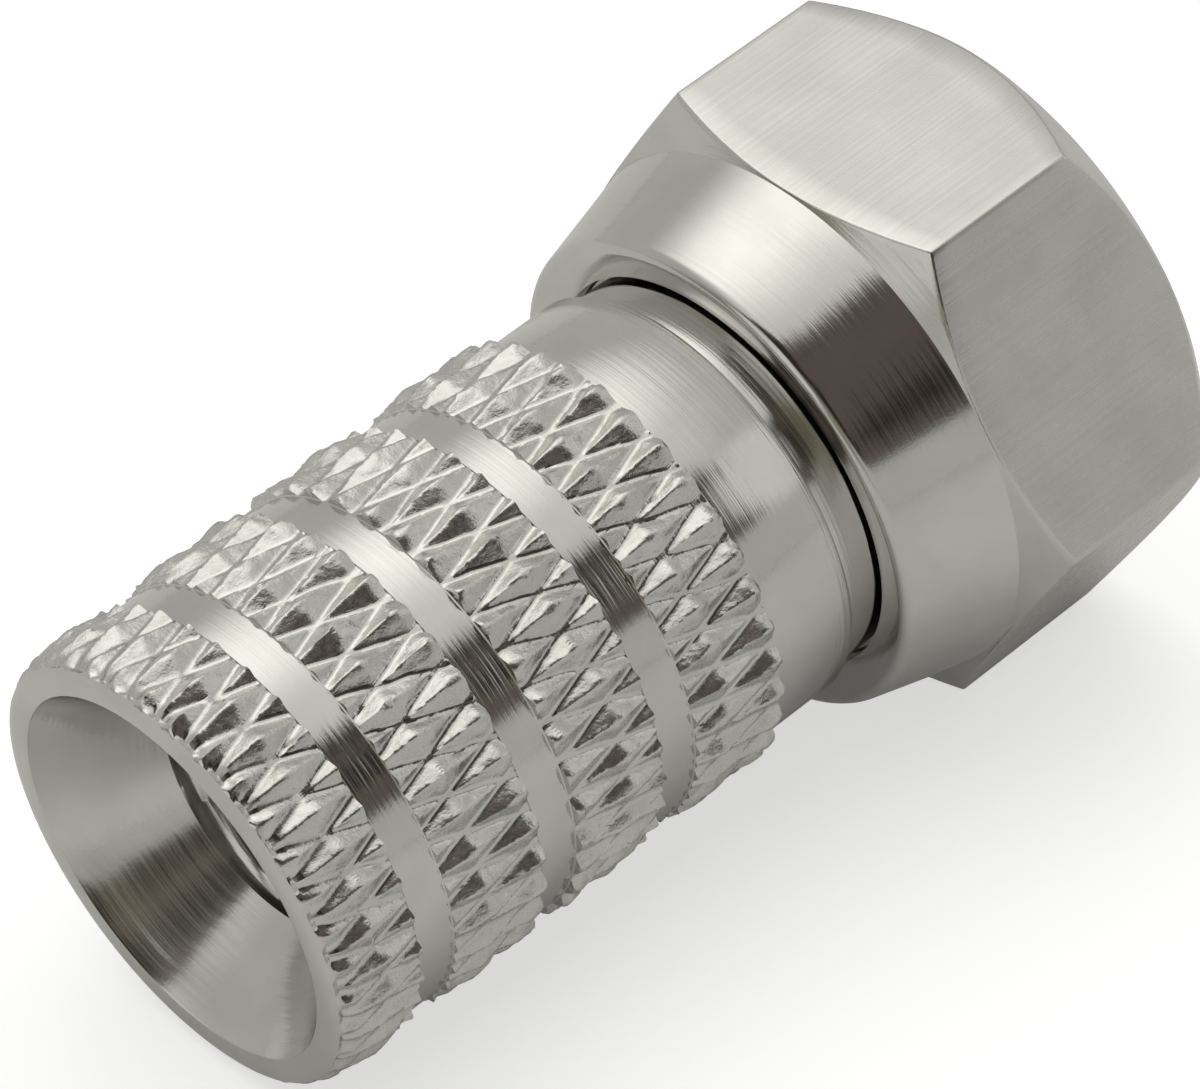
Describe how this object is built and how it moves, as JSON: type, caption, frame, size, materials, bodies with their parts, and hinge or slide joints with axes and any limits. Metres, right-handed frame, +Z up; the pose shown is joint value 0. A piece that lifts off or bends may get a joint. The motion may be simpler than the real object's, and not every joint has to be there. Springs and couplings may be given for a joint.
{
  "type": "f connector",
  "caption": "Twist-on coaxial cable plug: knurled sleeve with a tapered cable mouth, a flanged ferrule and a captive hexagonal coupling nut that turns freely.",
  "frame": {"origin": "middle of the bounding box at its base: the lower flat of the hexagon lies at height 0, and the axis runs 5.5 mm above it", "axes": "+X along the axis from the cable mouth to the front face of the nut, +Z up, square to the flat that the nut lies on"},
  "size_m": [0.02, 0.0128, 0.011],
  "materials": {
    "sleeve_plating": "bright nickel plating over knurled and turned brass",
    "nut_plating": "bright nickel plating over turned brass, with drawn lines along the flats",
    "ferrule_plating": "bright nickel plating over turned brass"
  },
  "bodies": {
    "nut": {"coupling_nut": "nut_plating"},
    "sleeve": {"body_sleeve": "sleeve_plating", "front_ferrule": "ferrule_plating"}
  },
  "joints": [
    {"name": "sleeve_spin", "type": "hinge", "parent": "nut", "child": "sleeve", "pos_m": [0, 0, 0.0055], "axis": [1, 0, 0], "continuous": true}
  ]
}
